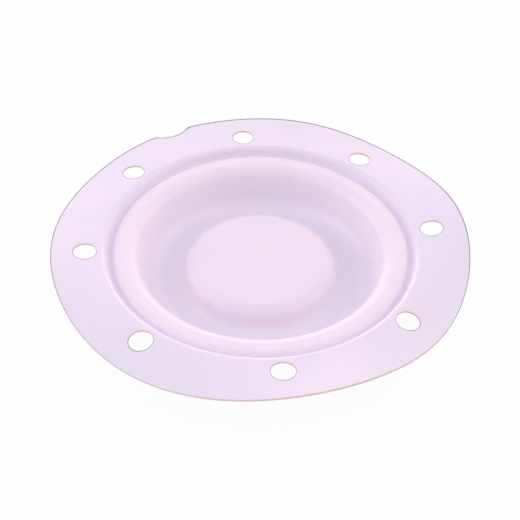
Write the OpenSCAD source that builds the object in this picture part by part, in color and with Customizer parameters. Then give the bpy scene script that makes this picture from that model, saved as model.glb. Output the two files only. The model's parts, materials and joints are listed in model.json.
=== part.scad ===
// Pump diaphragm: one moulded sheet of constant thickness.
// A dished centre hangs below a round bolting flange. From the outside in the
// sheet runs: wavy free flange, narrow sealing groove, rounded crest, steep
// bowl wall, deep ring valley and a flat raised centre.
// Every width is measured inwards from the one outside it, so the whole section
// follows the flange's diameter.
// Millimetres. The origin is the centre of the bolt circle, halfway through the
// sheet at the flat root of the flange, +Z up. The edge notch points to +Y.

/* [Sheet] */
// Thickness of the moulded sheet
sheet_t = 1; // [0.6:0.1:1.6]

/* [Flange] */
// Outside diameter of the flange
flange_d = 200; // [180:1:240]
// From the flange's edge in to the bolt circle
bolt_edge_w = 16; // [14:0.5:18]
// Number of bolt holes
bolt_count = 8; // [4:1:10]
// Diameter of each bolt hole
bolt_hole_d = 11; // [6:0.5:12]
// From the bolt circle in to the rounded lip of the groove
groove_gap_w = 6.7; // [6.5:0.1:9]

/* [Edge notch] */
// Width of the locating notch, measured across its mouth
notch_w = 19; // [12:1:24]
// Depth of the notch below the flange edge
notch_depth = 4; // [2:0.5:6]
// Radius that softens the two corners of the notch
notch_corner_r = 1.5; // [0.5:0.25:3]

/* [Groove] */
// Radius of the groove's outer lip, on the upper face
groove_lip_r = 3; // [2:0.1:3.5]
// Slope of the groove's outer side, in degrees from the flange
groove_outer_a = 70; // [60:1:72]
// Slope of the groove's inner side, in degrees from the flange
groove_inner_a = 52; // [48:1:56]
// Depth of the groove below the flange
groove_depth = 5; // [4.8:0.1:6.5]
// Radius along the groove's bottom, on the upper face
groove_floor_r = 1.1; // [0.6:0.1:1.4]

/* [Crest] */
// Drop of the crest below the flange
crest_drop = 2.8; // [1.5:0.1:3]
// Radius from the crest down into the groove, on the upper face
crest_edge_r = 3.75; // [2.5:0.25:4.25]
// Flat width left along the top of the crest
crest_flat_w = 2.6; // [0.5:0.1:4]
// Radius from the crest down into the bowl, on the upper face
crest_r = 7.3; // [5:0.1:9]

/* [Bowl] */
// Slope of the bowl's wall, in degrees from the flange
bowl_wall_a = 70; // [60:1:75]
// Depth of the bowl's valley below the flange
bowl_depth = 22.7; // [20:0.1:26]
// Radius where the bowl's wall runs into the valley
bowl_floor_r = 8.6; // [6:0.1:10]
// Flat width left along the bottom of the valley
valley_flat_w = 4.5; // [2:0.5:8]

/* [Centre] */
// Radius where the valley runs into the centre's wall
centre_foot_r = 5.6; // [3:0.1:6]
// Slope of the wall between the valley and the centre, in degrees
centre_wall_a = 72; // [60:1:77]
// Rise of the flat centre above the valley
centre_rise = 10.6; // [9.8:0.1:13]
// Radius round the edge of the centre, on the upper face
centre_edge_r = 7; // [3:0.25:8]

/* [Free wave of the flange] */
// Height of the four-lobed wave at the flange edge
wave4_h = 2.25; // [0:0.05:3]
// Height of the one-sided lean of the flange edge
wave1_h = 1; // [0:0.05:1.5]
// Height of the three-lobed wave at the flange edge
wave3_h = 0.85; // [0:0.05:1]
// Height of the five-lobed wave at the flange edge
wave5_h = 0.7; // [0:0.05:1]
// Height of the six-lobed wave at the flange edge
wave6_h = 0.55; // [0:0.05:1]

/* [Hidden] */

sheet_colour = [0.93, 0.88, 0.95];

flange_r = flange_d / 2;
bolt_circle_r = flange_r - bolt_edge_w;

// Directions of the highest points of each wave, in degrees from +X
wave1_a = 20;
wave3_a = 9.5;
wave4_a = -18;
wave5_a = -29;
wave6_a = -21;
// How fast the wave grows from the flange root to the edge
wave_growth_share = 1.3;

// Flat root of the flange: its width, and how far dish and flange overlap there
root_w = 0.5;
lap_w = 0.4;
lip_start_r = bolt_circle_r - groove_gap_w;
root_r = lip_start_r + root_w;
dish_r = root_r - lap_w / 2;

// Rows of the flange between its root and its edge, and its steps round
flange_rows = 6;
flange_steps = 120;

// Steps in the arcs of the section, and in true circles
arc_step_a = 7;
round_fn = 180;

// Overrun of every cut past the surface that it cuts
cut_over = 2;

// Direction of an angle in a plane
function heading(a) = [cos(a), sin(a)];

// Signed turn from direction u to direction v, in degrees
function turn(u, v) = atan2(u.x * v.y - u.y * v.x, u * v);

// Angle of direction u
function angle_of(u) = atan2(u.y, u.x);

// Distance from a corner to where a rounding of radius r starts, for a turn of a degrees
function tangent_w(r, a) = r * tan(a / 2);

// One rounded corner b between a and c: pairs of a point and its direction of travel
function rounded(a, b, c, r) =
    let(
        ua = angle_of(b - a),
        t = turn(b - a, c - b),
        side = t > 0 ? 1 : -1,
        start = b - heading(ua) * tangent_w(r, abs(t)),
        centre = start + heading(ua + 90 * side) * r,
        n = max(2, ceil(abs(t) / arc_step_a))
    )
    [for (i = [0:n]) let(d = ua + t * i / n) [centre - heading(d + 90 * side) * r, d]];

// Sharp corners of the upper face, each found from the one outside it
lip_corner_r = lip_start_r - tangent_w(groove_lip_r, groove_outer_a);
groove_half_a = (groove_outer_a + groove_inner_a) / 2;
groove_lean_a = (groove_outer_a - groove_inner_a) / 2;
groove_corner_z = groove_depth + groove_floor_r * (cos(groove_lean_a) / cos(groove_half_a) - 1);
groove_corner_r = lip_corner_r - groove_corner_z / tan(groove_outer_a);
crest_corner_r = groove_corner_r - (groove_corner_z - crest_drop) / tan(groove_inner_a);
crest_w = tangent_w(crest_edge_r, groove_inner_a) + crest_flat_w + tangent_w(crest_r, bowl_wall_a);
wall_top_r = crest_corner_r - crest_w;
wall_foot_r = wall_top_r - (bowl_depth - crest_drop) / tan(bowl_wall_a);
valley_w = tangent_w(bowl_floor_r, bowl_wall_a) + valley_flat_w
    + tangent_w(centre_foot_r, centre_wall_a);
centre_foot_corner_r = wall_foot_r - valley_w;
centre_corner_r = centre_foot_corner_r - centre_rise / tan(centre_wall_a);
centre_depth = bowl_depth - centre_rise;

// Upper face of the dish from the axis outwards: each row is a corner and its radius
corners = [
    [[centre_corner_r, -centre_depth], centre_edge_r],
    [[centre_foot_corner_r, -bowl_depth], centre_foot_r],
    [[wall_foot_r, -bowl_depth], bowl_floor_r],
    [[wall_top_r, -crest_drop], crest_r],
    [[crest_corner_r, -crest_drop], crest_edge_r],
    [[groove_corner_r, -groove_corner_z], groove_floor_r],
    [[lip_corner_r, 0], groove_lip_r]
];
path_start = [0, -centre_depth];
path_end = [dish_r, 0];
path = concat(
    [[path_start, 0]],
    [for (i = [0:len(corners) - 1])
        let(
            before = i == 0 ? path_start : corners[i - 1][0],
            after = i == len(corners) - 1 ? path_end : corners[i + 1][0]
        )
        each rounded(before, corners[i][0], after, corners[i][1])],
    [[path_end, 0]]
);

// Closed section of the sheet: the upper face, then the lower face back to the axis
section = concat(
    [for (p = path) p[0]],
    [for (i = [len(path) - 1:-1:0]) path[i][0] - heading(path[i][1] + 90) * sheet_t]
);

// Height of the flange at an angle, at its edge
function edge_wave(a) =
    wave1_h * cos(a - wave1_a)
    + wave3_h * cos(3 * (a - wave3_a))
    + wave4_h * cos(4 * (a - wave4_a))
    + wave5_h * cos(5 * (a - wave5_a))
    + wave6_h * cos(6 * (a - wave6_a));

// Height of the flange's upper face at radius r and angle a
function flange_z(r, a) =
    r <= root_r ? 0
    : edge_wave(a) * pow((r - root_r) / (flange_r - root_r), wave_growth_share);

// Radii of the flange's rows, from inside the dish to past the edge
row_w = (flange_r - root_r) / flange_rows;
row_radii = concat(
    [root_r - lap_w],
    [for (i = [0:flange_rows - 1]) root_r + row_w * i],
    [flange_r + cut_over]
);

function ring_points(drop) = [
    for (r = row_radii) for (j = [0:flange_steps - 1])
        let(a = 360 * j / flange_steps)
        [r * cos(a), r * sin(a), flange_z(r, a) - drop]
];

// Faces between two rings of points, wound to face outwards
function band(lower, upper) = [
    for (j = [0:flange_steps - 1])
        let(k = (j + 1) % flange_steps)
        each [[lower + j, upper + k, upper + j], [lower + j, lower + k, upper + k]]
];

// Sheet between two waved faces, a little wider than the flange
module waved_sheet() {
    rows = len(row_radii);
    below = rows * flange_steps;
    last = (rows - 1) * flange_steps;
    polyhedron(
        points = concat(ring_points(0), ring_points(sheet_t)),
        faces = concat(
            [for (i = [0:rows - 2]) each band(i * flange_steps, (i + 1) * flange_steps)],
            [for (i = [0:rows - 2])
                each band(below + (i + 1) * flange_steps, below + i * flange_steps)],
            band(last, below + last),
            band(below, 0)
        )
    );
}

// Room above and below the flange that every cut has to clear
wave_room = wave1_h + wave3_h + wave4_h + wave5_h + wave6_h + sheet_t + cut_over;

module flange() {
    intersection() {
        waved_sheet();
        cylinder(h = 2 * wave_room, r = flange_r, center = true, $fn = round_fn);
    }
}

module dish() {
    rotate_extrude($fn = round_fn) polygon(section);
}

module bolt_holes() {
    for (i = [0:bolt_count - 1])
        rotate(360 * (i + 0.5) / bolt_count)
            translate([bolt_circle_r, 0, 0])
                cylinder(h = 2 * wave_room, d = bolt_hole_d, center = true, $fn = 48);
}

// Round scoop in the edge: its circle passes through both ends of the mouth
mouth_rise = flange_r - sqrt(pow(flange_r, 2) - pow(notch_w / 2, 2));
scoop_sag = notch_depth - mouth_rise;
scoop_r = (pow(notch_w / 2, 2) + pow(scoop_sag, 2)) / (2 * scoop_sag);
scoop_y = flange_r - notch_depth + scoop_r;

// Centre of the corner's circle, which touches the edge and the scoop
corner_dist = flange_r - notch_corner_r;
reach_dist = scoop_r + notch_corner_r;
corner_y = (pow(corner_dist, 2) - pow(reach_dist, 2) + pow(scoop_y, 2)) / (2 * scoop_y);
corner_x = sqrt(pow(corner_dist, 2) - pow(corner_y, 2));
edge_touch_a = atan2(corner_y, corner_x);
scoop_touch_a = atan2(corner_y - scoop_y, corner_x);

// Points along an arc, from one angle to another
function arc(centre, r, from_a, to_a, n) =
    [for (i = [0:n]) centre + r * heading(from_a + (to_a - from_a) * i / n)];

// Right half of the notch, from the middle of the scoop out to the edge
notch_half = concat(
    arc([0, scoop_y], scoop_r, -90, scoop_touch_a, 8),
    arc([corner_x, corner_y], notch_corner_r, scoop_touch_a + 180, edge_touch_a, 5),
    [(flange_r + cut_over) * heading(edge_touch_a), [0, flange_r + cut_over]]
);

module edge_notch() {
    linear_extrude(height = 2 * wave_room, center = true)
        for (side = [-1, 1])
            scale([side, 1]) polygon(notch_half);
}

module diaphragm() {
    color(sheet_colour)
        translate([0, 0, sheet_t / 2])
            difference() {
                union() {
                    dish();
                    flange();
                }
                bolt_holes();
                edge_notch();
            }
}

diaphragm();
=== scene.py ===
import json
from math import atan2, cos, hypot, pi, radians, sin, sqrt, tan

import bmesh
import bpy
from mathutils import Matrix, Vector


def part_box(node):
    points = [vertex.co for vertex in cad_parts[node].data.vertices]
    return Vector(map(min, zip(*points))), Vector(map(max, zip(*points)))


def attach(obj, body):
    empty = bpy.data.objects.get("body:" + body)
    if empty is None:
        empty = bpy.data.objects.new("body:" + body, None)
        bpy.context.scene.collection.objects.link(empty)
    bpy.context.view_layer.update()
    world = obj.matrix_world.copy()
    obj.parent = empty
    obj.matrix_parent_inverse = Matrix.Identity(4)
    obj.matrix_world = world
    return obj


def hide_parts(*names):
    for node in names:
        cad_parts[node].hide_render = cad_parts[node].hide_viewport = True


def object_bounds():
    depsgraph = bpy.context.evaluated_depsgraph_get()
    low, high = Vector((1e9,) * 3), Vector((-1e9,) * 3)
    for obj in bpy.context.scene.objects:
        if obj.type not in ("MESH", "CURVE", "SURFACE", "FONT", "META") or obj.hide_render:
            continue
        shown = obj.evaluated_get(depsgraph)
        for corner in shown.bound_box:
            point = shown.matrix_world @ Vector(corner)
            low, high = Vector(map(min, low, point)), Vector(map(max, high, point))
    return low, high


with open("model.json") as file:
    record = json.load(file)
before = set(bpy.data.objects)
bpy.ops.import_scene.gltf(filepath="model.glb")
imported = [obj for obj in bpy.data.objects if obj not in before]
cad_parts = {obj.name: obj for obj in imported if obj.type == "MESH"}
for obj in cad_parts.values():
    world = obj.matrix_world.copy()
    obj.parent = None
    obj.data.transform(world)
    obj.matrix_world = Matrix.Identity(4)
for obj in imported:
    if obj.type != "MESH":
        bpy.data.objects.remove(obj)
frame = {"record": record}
cad_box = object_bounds()

# The moulded sheet
# The whole diaphragm is one sheet of milky lilac elastomer, moulded to one thickness.
# Its outline, the locating notch and the bolt holes are punched afterwards, so their
# walls are bare cut edges.
MM = 0.001
sheet_low_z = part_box("diaphragm")[0][2]
bolt_pattern = next(m for m in frame["record"]["mounts"] if m["name"] == "flange_bolts")["dims"]
BOLT_COUNT = bolt_pattern["count"]
BOLT_R = bolt_pattern["pcd_mm"] / 2 * MM
HOLE_R = bolt_pattern["hole_r_mm"] * MM
BOLT_EDGE_W = 16 * MM
FLANGE_R = BOLT_R + BOLT_EDGE_W
SHEET_T = 1.0 * MM
UPPER_Z = SHEET_T / 2

# Sizes of the section's upper face, from the bolt circle inwards. Slopes are measured
# from the flange, and heights from its root.
GROOVE_GAP_W = 6.7 * MM
ROOT_W = 0.5 * MM
LIP_R = 3.0 * MM
GROOVE_OUTER_A = radians(70)
GROOVE_INNER_A = radians(52)
GROOVE_DEPTH = 5.0 * MM
GROOVE_FLOOR_R = 1.1 * MM
CREST_Z = -2.8 * MM
CREST_OUTER_R = 3.75 * MM
CREST_FLAT_W = 2.6 * MM
CREST_INNER_R = 7.3 * MM
WALL_A = radians(70)
VALLEY_OUTER_R = 8.6 * MM
VALLEY_FLAT_W = 4.5 * MM
VALLEY_INNER_R = 5.6 * MM
VALLEY_Z = sheet_low_z + SHEET_T - UPPER_Z
CENTRE_WALL_A = radians(72)
CENTRE_RISE = 10.6 * MM
CENTRE_EDGE_R = 7.0 * MM
CENTRE_Z = VALLEY_Z + CENTRE_RISE
LIP_START_R = BOLT_R - GROOVE_GAP_W
ROOT_R = LIP_START_R + ROOT_W


def tangent_w(radius, turn):
    """Width that a rounding takes from each side of its corner."""
    return radius * tan(turn / 2)


def section_corners():
    """Sharp corners from the axis outwards: radius, height and the radius that rounds it.

    The groove's sharp corner lies below its floor, because the rounding takes its tip off.
    """
    groove_half_a = (GROOVE_OUTER_A + GROOVE_INNER_A) / 2
    groove_lean_a = (GROOVE_OUTER_A - GROOVE_INNER_A) / 2
    groove_z = -GROOVE_DEPTH - GROOVE_FLOOR_R * (cos(groove_lean_a) / cos(groove_half_a) - 1)
    lip = LIP_START_R - tangent_w(LIP_R, GROOVE_OUTER_A)
    groove = lip + groove_z / tan(GROOVE_OUTER_A)
    crest_outer = groove - (CREST_Z - groove_z) / tan(GROOVE_INNER_A)
    crest_inner = (crest_outer - tangent_w(CREST_OUTER_R, GROOVE_INNER_A) - CREST_FLAT_W
                   - tangent_w(CREST_INNER_R, WALL_A))
    valley_outer = crest_inner - (CREST_Z - VALLEY_Z) / tan(WALL_A)
    valley_inner = (valley_outer - tangent_w(VALLEY_OUTER_R, WALL_A) - VALLEY_FLAT_W
                    - tangent_w(VALLEY_INNER_R, CENTRE_WALL_A))
    centre_edge = valley_inner - CENTRE_RISE / tan(CENTRE_WALL_A)
    return [
        (centre_edge, CENTRE_Z, CENTRE_EDGE_R),
        (valley_inner, VALLEY_Z, VALLEY_INNER_R),
        (valley_outer, VALLEY_Z, VALLEY_OUTER_R),
        (crest_inner, CREST_Z, CREST_INNER_R),
        (crest_outer, CREST_Z, CREST_OUTER_R),
        (groove, groove_z, GROOVE_FLOOR_R),
        (lip, 0.0, LIP_R),
    ]


CORNERS = section_corners()
ROUND_STEPS = 224
CORNER_STEPS = 10


def rounding_offset(radius, turn):
    """How far from a corner its bevel starts, to pass through the middle of the round.

    The bevel is a quarter of an ellipse, squeezed between the two sides. Its middle lies
    (2 - sqrt(2)) * sin(turn / 2) times the offset from the corner.
    """
    return radius * (1 / cos(turn / 2) - 1) / ((2 - sqrt(2)) * sin(turn / 2))


def add_dish(bm):
    """The section is a chain of edges with its corners bevelled round, then spun."""
    places = [(0, CENTRE_Z)] + [(r, z) for r, z, _ in CORNERS] + [(ROOT_R, 0)]
    chain = [bm.verts.new((r, 0, z)) for r, z in places]
    for inner, outer in zip(chain, chain[1:]):
        bm.edges.new((inner, outer))
    turns = []
    for before, corner, after in zip(chain, chain[1:], chain[2:]):
        turns.append((corner.co - before.co).angle(after.co - corner.co))
    for corner, turn, (_, _, radius) in zip(chain[1:-1], turns, CORNERS):
        bmesh.ops.bevel(bm, geom=[corner], offset=rounding_offset(radius, turn), offset_type="OFFSET",
                        affect="VERTICES", segments=CORNER_STEPS, profile=0.5, material=-1)
    bmesh.ops.spin(bm, geom=bm.verts[:] + bm.edges[:], cent=(0, 0, 0), axis=(0, 0, 1), dvec=(0, 0, 0),
                   angle=2 * pi, steps=ROUND_STEPS, use_merge=True)


# Steps round one bolt hole's share of the flange: along the root, along each side and
# along the edge. Those of the edge crowd towards the sides, where the notch is.
ROOT_STEPS = ROUND_STEPS // BOLT_COUNT
SIDE_STEPS = 14
EDGE_STEPS = 100
# Rows of faces from a bolt hole to the outline of its share
HOLE_ROWS = 9


def share_outline():
    """Outline of one bolt hole's share of the flange, anticlockwise, with its hole on +X."""
    half = pi / BOLT_COUNT
    width = FLANGE_R - ROOT_R
    side = [(ROOT_R + width * i / SIDE_STEPS, -half) for i in range(SIDE_STEPS)]
    edge = [(FLANGE_R, half * sin((2 * i / EDGE_STEPS - 1) * pi / 2)) for i in range(EDGE_STEPS)]
    back = [(FLANGE_R - width * i / SIDE_STEPS, half) for i in range(SIDE_STEPS)]
    root = [(ROOT_R, half - 2 * half * i / ROOT_STEPS) for i in range(ROOT_STEPS)]
    return [Vector((r * cos(a), r * sin(a), 0)) for r, a in side + edge + back + root]


def add_loop(bm, places):
    """A closed loop of edges through the places."""
    verts = [bm.verts.new(p) for p in places]
    return [bm.edges.new(pair) for pair in zip(verts, verts[1:] + verts[:1])]


def add_flange(bm):
    """One share is bridged from its bolt hole to its outline, then spun round the axis."""
    outline = share_outline()
    hole_centre = Vector((BOLT_R, 0, 0))
    rim = [hole_centre + (p - hole_centre).normalized() * HOLE_R for p in outline]
    loops = add_loop(bm, rim) + add_loop(bm, outline)
    bridged = bmesh.ops.bridge_loops(bm, edges=loops)
    spokes = [e for e in bridged["edges"] if e not in loops]
    bmesh.ops.subdivide_edges(bm, edges=spokes, cuts=HOLE_ROWS - 1, use_grid_fill=True)
    share = bm.verts[:] + bm.edges[:] + bm.faces[:]
    bmesh.ops.rotate(bm, verts=bm.verts, cent=(0, 0, 0), matrix=Matrix.Rotation(pi / BOLT_COUNT, 3, "Z"))
    copies = BOLT_COUNT - 1
    bmesh.ops.spin(bm, geom=share, cent=(0, 0, 0), axis=(0, 0, 1), dvec=(0, 0, 0),
                   angle=2 * pi * copies / BOLT_COUNT, steps=copies, use_duplicate=True)


# The notch is a round scoop in the edge, halfway between two bolts on +Y. Its corners
# are softened where scoop and edge come close.
NOTCH_W = 19 * MM
NOTCH_DEPTH = 4 * MM
NOTCH_SOFT = 0.5 * MM
NOTCH_SOFT_END = 4 * NOTCH_SOFT
NOTCH_REACH_R = BOLT_R + 4 * MM


def trimmed_r(angle):
    """Radius of the flange's outline at an angle from the middle of the notch.

    The scoop is part of a circle whose centre lies outside the flange.
    """
    rise = FLANGE_R - sqrt(FLANGE_R ** 2 - (NOTCH_W / 2) ** 2)
    sag = NOTCH_DEPTH - rise
    scoop_r = ((NOTCH_W / 2) ** 2 + sag ** 2) / (2 * sag)
    scoop_y = FLANGE_R - NOTCH_DEPTH + scoop_r
    half_chord_sq = scoop_r ** 2 - (scoop_y * sin(angle)) ** 2
    if cos(angle) < 0 or half_chord_sq <= 0:
        return FLANGE_R
    scoop = scoop_y * cos(angle) - sqrt(half_chord_sq)
    gap = scoop - FLANGE_R
    if gap > NOTCH_SOFT_END:
        return FLANGE_R
    return (scoop + FLANGE_R - sqrt(gap ** 2 + NOTCH_SOFT ** 2)) / 2


def cut_notch(bm):
    """Draws the flange's outer rows in, so that the edge follows the notch."""
    for v in bm.verts:
        r = hypot(v.co.x, v.co.y)
        if r > NOTCH_REACH_R:
            outward = (r - NOTCH_REACH_R) / (FLANGE_R - NOTCH_REACH_R)
            trimmed = NOTCH_REACH_R + outward * (trimmed_r(atan2(v.co.x, v.co.y)) - NOTCH_REACH_R)
            v.co.x *= trimmed / r
            v.co.y *= trimmed / r


# The wave that the free flange has: lobes round it, height at the edge, and the
# direction of a high point
WAVES = [
    (1, 1.0 * MM, radians(20)),
    (3, 0.85 * MM, radians(9.5)),
    (4, 2.25 * MM, radians(-18)),
    (5, 0.7 * MM, radians(-29)),
    (6, 0.55 * MM, radians(-21)),
]
# It grows from the root to the edge by this power of the way out
WAVE_GROWTH = 1.3


def wave_z(place):
    """Height of the flange above its flat root at a place in the plan."""
    outward = (hypot(place.x, place.y) - ROOT_R) / (FLANGE_R - ROOT_R)
    if outward <= 0:
        return 0
    angle = atan2(place.y, place.x)
    edge_z = sum(h * cos(lobes * (angle - high)) for lobes, h, high in WAVES)
    return edge_z * outward ** WAVE_GROWTH


# The painted shade next to a cut reaches further where the cut faces this way, away from
# the camera, by up to the share given. It reaches less far round a hole than along the outline.
EDGE_SHADE_WIDE_A = radians(60)
EDGE_SHADE_WIDE_SHARE = 0.88
HOLE_SHADE_REACH_SHARE = 0.5


def edge_shade_gap(place):
    """Millimetres to the nearest cut, in the plan; fewer where the painted edge shade reaches further.
    """
    bolt_share = 2 * pi / BOLT_COUNT
    bolt_a = (atan2(place.y, place.x) // bolt_share + 0.5) * bolt_share
    hole = Vector((BOLT_R * cos(bolt_a), BOLT_R * sin(bolt_a)))
    flat = place.xy
    hole_gap = (hole - flat).length - HOLE_R
    outline_gap = trimmed_r(atan2(place.x, place.y)) - flat.length
    if outline_gap < hole_gap:
        gap, towards_cut, reach = outline_gap, flat, 1
    else:
        gap, towards_cut, reach = hole_gap, hole - flat, HOLE_SHADE_REACH_SHARE
    facing = towards_cut.normalized().dot(Vector((cos(EDGE_SHADE_WIDE_A), sin(EDGE_SHADE_WIDE_A))))
    return max(0, gap) / (reach * (1 + EDGE_SHADE_WIDE_SHARE * facing)) / MM


# A cut wall stands upright, so its faces' normals are nearly level. Its arrises are
# slightly rounded.
CUT_LEVEL = 0.5
ARRIS_R = 0.12 * MM
ARRIS_STEPS = 2
MERGE_GAP = 0.02 * MM


def build_sheet():
    """Flange and dish are joined, waved and thickened, and the cut arrises rounded."""
    bm = bmesh.new()
    add_flange(bm)
    cut_notch(bm)
    dish = bmesh.new()
    add_dish(dish)
    dish_mesh = bpy.data.meshes.new("dish")
    dish.to_mesh(dish_mesh)
    dish.free()
    bm.from_mesh(dish_mesh)
    bpy.data.meshes.remove(dish_mesh)
    bmesh.ops.remove_doubles(bm, verts=bm.verts, dist=MERGE_GAP)
    for v in bm.verts:
        v.co.z += wave_z(v.co) + UPPER_Z
    bmesh.ops.recalc_face_normals(bm, faces=bm.faces)
    if sum(f.normal.z for f in bm.faces) < 0:
        bmesh.ops.reverse_faces(bm, faces=bm.faces)
    bmesh.ops.solidify(bm, geom=bm.faces[:], thickness=SHEET_T)
    cut_faces = {f for f in bm.faces if abs(f.normal.z) < CUT_LEVEL
                 and hypot(*f.calc_center_median().xy) > ROOT_R}
    for f in cut_faces:
        f.material_index = 1
    arrises = [e for e in bm.edges if len(cut_faces.intersection(e.link_faces)) == 1]
    bmesh.ops.bevel(bm, geom=arrises, offset=ARRIS_R, offset_type="OFFSET", affect="EDGES",
                    segments=ARRIS_STEPS, profile=0.5, material=-1)
    # How far each point lies from a cut, for the painted shade along the edges
    gap_layer = bm.verts.layers.float.new("edge_shade_gap")
    for v in bm.verts:
        v[gap_layer] = edge_shade_gap(v.co)
    mesh = bpy.data.meshes.new("diaphragm_sheet")
    bm.to_mesh(mesh)
    bm.free()
    mesh.shade_smooth()
    return mesh


sheet_mesh = build_sheet()
sheet = bpy.data.objects.new("diaphragm_sheet", sheet_mesh)
bpy.context.scene.collection.objects.link(sheet)
# The large faces next to an arris keep their own shading, and only the arris bends it
flat_shading = sheet.modifiers.new("flat_next_to_cut", "WEIGHTED_NORMAL")
flat_shading.keep_sharp = False
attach(sheet, "root")
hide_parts("diaphragm")


# Noise in the compound: how fine the clouds and the grain are drawn, and where the
# clouds lie
CLOUD_DETAIL = 2.0
GRAIN_DETAIL = 3.0
NOISE_ROUGHNESS = 0.55
CLOUD_SHIFT = (0.04, -0.015, 0.05)


def add_grain_group():
    """The surface of moulded elastomer: slow clouds in the compound and a fine grain."""
    group = bpy.data.node_groups.new("elastomer_grain", "ShaderNodeTree")
    for name in ("Cloud Scale", "Grain Scale", "Scale Z"):
        group.interface.new_socket(name, in_out="INPUT", socket_type="NodeSocketFloat")
    for name in ("Cloud", "Grain"):
        group.interface.new_socket(name, in_out="OUTPUT", socket_type="NodeSocketFloat")
    nodes, links = group.nodes, group.links
    given = nodes.new("NodeGroupInput")
    result = nodes.new("NodeGroupOutput")
    place = nodes.new("ShaderNodeTexCoord")
    scales = nodes.new("ShaderNodeCombineXYZ")
    scales.inputs["X"].default_value = 1
    scales.inputs["Y"].default_value = 1
    stretched = nodes.new("ShaderNodeMapping")
    stretched.inputs["Location"].default_value = CLOUD_SHIFT
    links.new(given.outputs["Scale Z"], scales.inputs["Z"])
    links.new(place.outputs["Object"], stretched.inputs["Vector"])
    links.new(scales.outputs["Vector"], stretched.inputs["Scale"])
    for name, detail in (("Cloud", CLOUD_DETAIL), ("Grain", GRAIN_DETAIL)):
        noise = nodes.new("ShaderNodeTexNoise")
        noise.inputs["Detail"].default_value = detail
        noise.inputs["Roughness"].default_value = NOISE_ROUGHNESS
        links.new(stretched.outputs["Vector"], noise.inputs["Vector"])
        links.new(given.outputs[name + " Scale"], noise.inputs["Scale"])
        links.new(noise.outputs["Fac"], result.inputs[name])
    return group


elastomer_grain = add_grain_group()


def place_grain(mat, clouds_per_m, grains_per_m, scale_z):
    """The grain in a material; a scale below 1 draws it out from face to face."""
    grain = mat.node_tree.nodes.new("ShaderNodeGroup")
    grain.node_tree = elastomer_grain
    grain.inputs["Cloud Scale"].default_value = clouds_per_m
    grain.inputs["Grain Scale"].default_value = grains_per_m
    grain.inputs["Scale Z"].default_value = scale_z
    return grain


def remap(mat, source, source_range, new_range):
    """A value that runs through the new range while the source runs through its own."""
    node = mat.node_tree.nodes.new("ShaderNodeMapRange")
    names = ("From Min", "From Max", "To Min", "To Max")
    for name, value in zip(names, (*source_range, *new_range)):
        node.inputs[name].default_value = value
    mat.node_tree.links.new(source, node.inputs["Value"])
    return node.outputs["Result"]


def blend(mat, share, first, second, how="MIX"):
    """Two colours mixed by a mask; each is a plain value or another node's output."""
    node = mat.node_tree.nodes.new("ShaderNodeMix")
    node.data_type = "RGBA"
    node.blend_type = how
    for name, given in (("Factor", share), ("A", first), ("B", second)):
        if isinstance(given, bpy.types.NodeSocket):
            mat.node_tree.links.new(given, node.inputs[name])
        elif isinstance(given, tuple):
            node.inputs[name].default_value = (*given, 1)
        else:
            node.inputs[name].default_value = given
    return node.outputs["Result"]


def add_bump(mat, height, depth):
    """Normals for a surface whose height runs through the depth given."""
    bump = mat.node_tree.nodes.new("ShaderNodeBump")
    bump.inputs["Distance"].default_value = depth
    bump.inputs["Strength"].default_value = 1.0
    mat.node_tree.links.new(height, bump.inputs["Height"])
    return bump.outputs["Normal"]


# The sheet's lilac runs along the section with painted light and shade in it: lighter at
# the top of the centre's wall and on the crest as painted light, darker and cooler in the
# valley and on the flange as painted shade. Radius and colour on the centre, at the top and
# foot of its wall, in the valley, on the bowl's wall, at both sides of the crest and on the flange
TINTS_WITH_PAINTED_LIGHT = [
    (33 * MM, (0.868, 0.755, 0.906)),
    (38 * MM, (0.888, 0.792, 0.908)),
    (41 * MM, (0.868, 0.790, 0.905)),
    (46 * MM, (0.845, 0.762, 0.910)),
    (58 * MM, (0.860, 0.766, 0.905)),
    (65 * MM, (0.894, 0.778, 0.910)),
    (70 * MM, (0.894, 0.778, 0.910)),
    (75 * MM, (0.832, 0.748, 0.909)),
]


def tint_with_painted_light(mat):
    """The compound's lilac by distance from the axis, with painted light and shade in it."""
    nodes, links = mat.node_tree.nodes, mat.node_tree.links
    place = nodes.new("ShaderNodeTexCoord")
    flat = nodes.new("ShaderNodeVectorMath")
    flat.operation = "MULTIPLY"
    flat.inputs[1].default_value = (1, 1, 0)
    radius = nodes.new("ShaderNodeVectorMath")
    radius.operation = "LENGTH"
    ramp = nodes.new("ShaderNodeValToRGB")
    stops = ramp.color_ramp.elements
    while len(stops) < len(TINTS_WITH_PAINTED_LIGHT):
        stops.new(1)
    for stop, (r, colour) in zip(stops, TINTS_WITH_PAINTED_LIGHT):
        stop.position = r / FLANGE_R
        stop.color = (*colour, 1)
    links.new(place.outputs["Object"], flat.inputs[0])
    links.new(flat.outputs["Vector"], radius.inputs[0])
    links.new(remap(mat, radius.outputs["Value"], (0, FLANGE_R), (0, 1)), ramp.inputs["Fac"])
    return ramp.outputs["Color"]


# Slow clouds lie in the milky compound and turn its tint a little pinker or cooler. The
# noise stays near its middle, so tint and gloss run over that part of its range.
SKIN_CLOUDS_PER_M = 34.0
SKIN_GRAINS_PER_M = 1500.0
SKIN_GRAIN_DEPTH = 0.02 * MM
CLOUD_TINT_RANGE = (0.36, 0.64)
CLOUD_GLOSS_RANGE = (0.3, 0.7)
PINKER = (1.021, 1.007, 0.9965)
COOLER = (0.980, 0.9915, 1.0035)
# The skin next to a cut is painted dark, as painted shade along the sheet's edge: fully up
# to the first distance and not at all from the second, in millimetres
EDGE_SHADE_COLOUR = (0.15, 0.135, 0.15)
EDGE_SHADE_RANGE = (0.34, 0.58)
EDGE_SHADE_SHARE = 0.9
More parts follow.
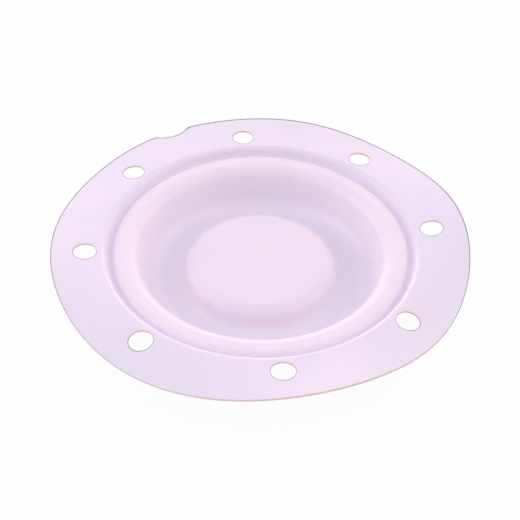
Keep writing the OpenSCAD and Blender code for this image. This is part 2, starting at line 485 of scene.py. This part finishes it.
# The moulded skin has a satin gloss and a soft sheen. Light goes a little way in: the
# share that does, how far each colour goes, and the depth.
SKIN_SPECULAR = 0.6
SKIN_ROUGHNESS = (0.34, 0.42)
SHEEN_SHARE = 0.4
SHEEN_ROUGHNESS = 0.25
SHEEN_TINT = (1.0, 0.86, 0.86)
MILK_SHARE = 0.1
MILK_REACH = (1.0, 0.8, 0.9)
MILK_DEPTH = 1.5 * MM


def sheet_material():
    """The moulded skin."""
    mat = bpy.data.materials.new("lilac_elastomer")
    mat.use_nodes = True
    nodes, links = mat.node_tree.nodes, mat.node_tree.links
    shader = nodes["Principled BSDF"]
    shader.inputs["Specular IOR Level"].default_value = SKIN_SPECULAR
    shader.inputs["Sheen Weight"].default_value = SHEEN_SHARE
    shader.inputs["Sheen Roughness"].default_value = SHEEN_ROUGHNESS
    shader.inputs["Sheen Tint"].default_value = (*SHEEN_TINT, 1)
    shader.inputs["Subsurface Weight"].default_value = MILK_SHARE
    shader.inputs["Subsurface Radius"].default_value = MILK_REACH
    shader.inputs["Subsurface Scale"].default_value = MILK_DEPTH
    grain = place_grain(mat, SKIN_CLOUDS_PER_M, SKIN_GRAINS_PER_M, scale_z=1)
    gap = nodes.new("ShaderNodeAttribute")
    gap.attribute_name = "edge_shade_gap"
    clouds = blend(mat, remap(mat, grain.outputs["Cloud"], CLOUD_TINT_RANGE, (0, 1)), PINKER, COOLER)
    # The lilac carries painted light and shade along the section, and the clouds tint it
    clouded = blend(mat, 1, tint_with_painted_light(mat), clouds, how="MULTIPLY")
    # The dark painted shade along the cuts
    edge_shade = remap(mat, gap.outputs["Fac"], EDGE_SHADE_RANGE, (EDGE_SHADE_SHARE, 0))
    gloss = remap(mat, grain.outputs["Cloud"], CLOUD_GLOSS_RANGE, SKIN_ROUGHNESS)
    links.new(blend(mat, edge_shade, clouded, EDGE_SHADE_COLOUR), shader.inputs["Base Color"])
    links.new(gloss, shader.inputs["Roughness"])
    links.new(add_bump(mat, grain.outputs["Grain"], SKIN_GRAIN_DEPTH), shader.inputs["Normal"])
    return mat


# A punched wall shows the bare tan compound, with fine drag marks from face to face
TAN = (0.94, 0.73, 0.66)
DARK_TAN = (0.84, 0.60, 0.52)
CUT_CLOUDS_PER_M = 120.0
CUT_GRAINS_PER_M = 2200.0
CUT_GRAIN_DEPTH = 0.04 * MM
DRAG_SCALE_Z = 0.08
DRAG_RANGE = (0.35, 0.65)
CUT_SPECULAR = 0.25
CUT_ROUGHNESS = (0.55, 0.7)


def cut_edge_material():
    """The bare compound of the punched walls."""
    mat = bpy.data.materials.new("punched_edge")
    mat.use_nodes = True
    links = mat.node_tree.links
    shader = mat.node_tree.nodes["Principled BSDF"]
    shader.inputs["Specular IOR Level"].default_value = CUT_SPECULAR
    grain = place_grain(mat, CUT_CLOUDS_PER_M, CUT_GRAINS_PER_M, scale_z=DRAG_SCALE_Z)
    drag = remap(mat, grain.outputs["Grain"], DRAG_RANGE, (0, 1))
    gloss = remap(mat, grain.outputs["Cloud"], CLOUD_GLOSS_RANGE, CUT_ROUGHNESS)
    links.new(blend(mat, drag, TAN, DARK_TAN), shader.inputs["Base Color"])
    links.new(gloss, shader.inputs["Roughness"])
    links.new(add_bump(mat, grain.outputs["Grain"], CUT_GRAIN_DEPTH), shader.inputs["Normal"])
    return mat


sheet_mesh.materials.append(sheet_material())
sheet_mesh.materials.append(cut_edge_material())


# The floor
# A plain white table top, made as one flat face. It only catches the sheet's soft
# shadow: most of its white is its own, so that it runs into the white background.
FLOOR_SIZE = 6.0
FLOOR_GAP = 0.05 * MM
FLOOR_PAINT = (0.9, 0.9, 0.9)
FLOOR_GLOW_SHARE = 0.95
floor_bm = bmesh.new()
bmesh.ops.create_grid(floor_bm, x_segments=1, y_segments=1, size=FLOOR_SIZE / 2)
bmesh.ops.translate(floor_bm, verts=floor_bm.verts, vec=(0, 0, cad_box[0][2] - FLOOR_GAP))
floor_mesh = bpy.data.meshes.new("floor")
floor_bm.to_mesh(floor_mesh)
floor_bm.free()
floor = bpy.data.objects.new("floor", floor_mesh)
bpy.context.scene.collection.objects.link(floor)


def seen_share(tree, share):
    """The share for rays from the camera, or from a gloss or glass; none for the light."""
    path = tree.nodes.new("ShaderNodeLightPath")
    total = path.outputs["Is Camera Ray"]
    for kind in ("Is Glossy Ray", "Is Transmission Ray"):
        more = tree.nodes.new("ShaderNodeMath")
        more.operation = "MAXIMUM"
        tree.links.new(total, more.inputs[0])
        tree.links.new(path.outputs[kind], more.inputs[1])
        total = more.outputs[0]
    scaled = tree.nodes.new("ShaderNodeMath")
    scaled.operation = "MULTIPLY"
    scaled.inputs[1].default_value = share
    tree.links.new(total, scaled.inputs[0])
    return scaled.outputs[0]


def floor_material():
    """White paint that takes shadows, under a white glow that only the view sees."""
    mat = bpy.data.materials.new("white_table")
    mat.use_nodes = True
    nodes, links = mat.node_tree.nodes, mat.node_tree.links
    nodes.clear()
    paint = nodes.new("ShaderNodeBsdfDiffuse")
    paint.inputs["Color"].default_value = (*FLOOR_PAINT, 1)
    glow = nodes.new("ShaderNodeEmission")
    glow.inputs["Strength"].default_value = 1.0
    mix = nodes.new("ShaderNodeMixShader")
    out = nodes.new("ShaderNodeOutputMaterial")
    links.new(seen_share(mat.node_tree, FLOOR_GLOW_SHARE), mix.inputs[0])
    links.new(paint.outputs[0], mix.inputs[1])
    links.new(glow.outputs[0], mix.inputs[2])
    links.new(mix.outputs[0], out.inputs["Surface"])
    return mat


floor_mesh.materials.append(floor_material())

# The light
# A pale room lights the sheet from all round. Large soft lamps stand low and high round
# the table, the strongest at the left, and light the flanks of the bowl.
ROOM = (1.0, 0.995, 0.975)
ROOM_STRENGTH = 0.66
world = bpy.data.worlds.new("soft_room")
bpy.context.scene.world = world
world.use_nodes = True
room_nodes, room_links = world.node_tree.nodes, world.node_tree.links
room_nodes["Background"].inputs["Color"].default_value = (*ROOM, 1)
room_nodes["Background"].inputs["Strength"].default_value = ROOM_STRENGTH
white = room_nodes.new("ShaderNodeBackground")
white.inputs["Color"].default_value = (1, 1, 1, 1)
white.inputs["Strength"].default_value = 1.0
room_mix = room_nodes.new("ShaderNodeMixShader")
room_links.new(seen_share(world.node_tree, 1.0), room_mix.inputs[0])
room_links.new(room_nodes["Background"].outputs[0], room_mix.inputs[1])
room_links.new(white.outputs[0], room_mix.inputs[2])
room_links.new(room_mix.outputs[0], room_nodes["World Output"].inputs["Surface"])

# Each lamp: azimuth, elevation, metres away, energy and colour. Azimuth 0 is behind the
# sheet and 90 at its right, as the camera sees it.
LAMPS = [
    ("left_lamp", 270, 22, 1.0, 2.66, (1.0, 0.83, 0.76)),
    ("right_lamp", 90, 22, 1.8, 7.2, (1.0, 0.75, 0.655)),
    ("rear_lamp", 0, 22, 1.0, 1.05, (1.0, 0.53, 0.27)),
    ("rear_right_lamp", 45, 22, 1.0, 0.73, (1.0, 0.66, 0.60)),
    ("high_left_lamp", 270, 50, 1.0, 1.05, (0.595, 0.86, 1.0)),
    ("high_right_lamp", 90, 50, 1.8, 2.98, (0.74, 1.0, 0.86)),
    ("high_rear_lamp", 0, 50, 1.0, 0.68, (0.18, 0.18, 1.0)),
]
LAMP_SIZE = 0.7
# Long strip lamps lie low behind the sheet and draw the fine bright line along the
# groove's lip and the crest: azimuth, elevation and energy
STRIPS = [
    ("rear_strip", 0, 7, 2.2),
    ("rear_left_strip", 310, 7, 0.80),
]
STRIP_W, STRIP_H = 1.5, 0.12
STRIP_AWAY = 1.0
STRIP_COLOUR = (1.0, 0.82, 0.70)
VIEW_A = radians(-29.8)
VIEW_TURN = Matrix.Rotation(VIEW_A, 4, "Z")


def aim_lamp(lamp, azimuth, elevation, away):
    """Stands a lamp off the sheet and turns it to face the sheet."""
    lamp_obj = bpy.data.objects.new(lamp.name, lamp)
    lamp_obj.matrix_world = (VIEW_TURN @ Matrix.Rotation(-radians(azimuth), 4, "Z")
                             @ Matrix.Rotation(radians(elevation - 90), 4, "X")
                             @ Matrix.Translation((0, 0, away)))
    bpy.context.scene.collection.objects.link(lamp_obj)


for name, azimuth, elevation, away, energy, colour in LAMPS:
    lamp = bpy.data.lights.new(name, "AREA")
    lamp.shape = "SQUARE"
    lamp.size = LAMP_SIZE * away
    lamp.color = colour
    lamp.energy = energy
    aim_lamp(lamp, azimuth, elevation, away)

for name, azimuth, elevation, energy in STRIPS:
    strip = bpy.data.lights.new(name, "AREA")
    strip.shape = "RECTANGLE"
    strip.size, strip.size_y = STRIP_W, STRIP_H
    strip.color = STRIP_COLOUR
    strip.energy = energy
    aim_lamp(strip, azimuth, elevation, STRIP_AWAY)

# The camera
# It looks down at the sheet from half a metre away, and sees the notch at the far left.
# Its lens is given by the focal length in pixels of the 520-pixel frame.
CAMERA_AWAY = 0.50005
CAMERA_LEFT = 0.34 * MM
CAMERA_DOWN = 9.55 * MM
CAMERA_HEIGHT_A = radians(42.66)
CAMERA_ROLL = radians(1.165)
CAMERA_NEAR = 0.01
FOCAL_PX = 1037.7
IMAGE_PX = 520
SENSOR_W_MM = 36
cam_data = bpy.data.cameras.new("camera")
cam_data.sensor_width = SENSOR_W_MM
cam_data.lens = SENSOR_W_MM * FOCAL_PX / IMAGE_PX
cam_data.clip_start = CAMERA_NEAR
cam = bpy.data.objects.new("camera", cam_data)
cam.matrix_world = (Matrix.Translation((0, 0, UPPER_Z)) @ VIEW_TURN
                    @ Matrix.Rotation(pi / 2 - CAMERA_HEIGHT_A, 4, "X")
                    @ Matrix.Rotation(CAMERA_ROLL, 4, "Z")
                    @ Matrix.Translation((-CAMERA_LEFT, -CAMERA_DOWN, CAMERA_AWAY)))
bpy.context.scene.collection.objects.link(cam)
bpy.context.scene.camera = cam
bpy.context.scene.view_settings.view_transform = "Standard"
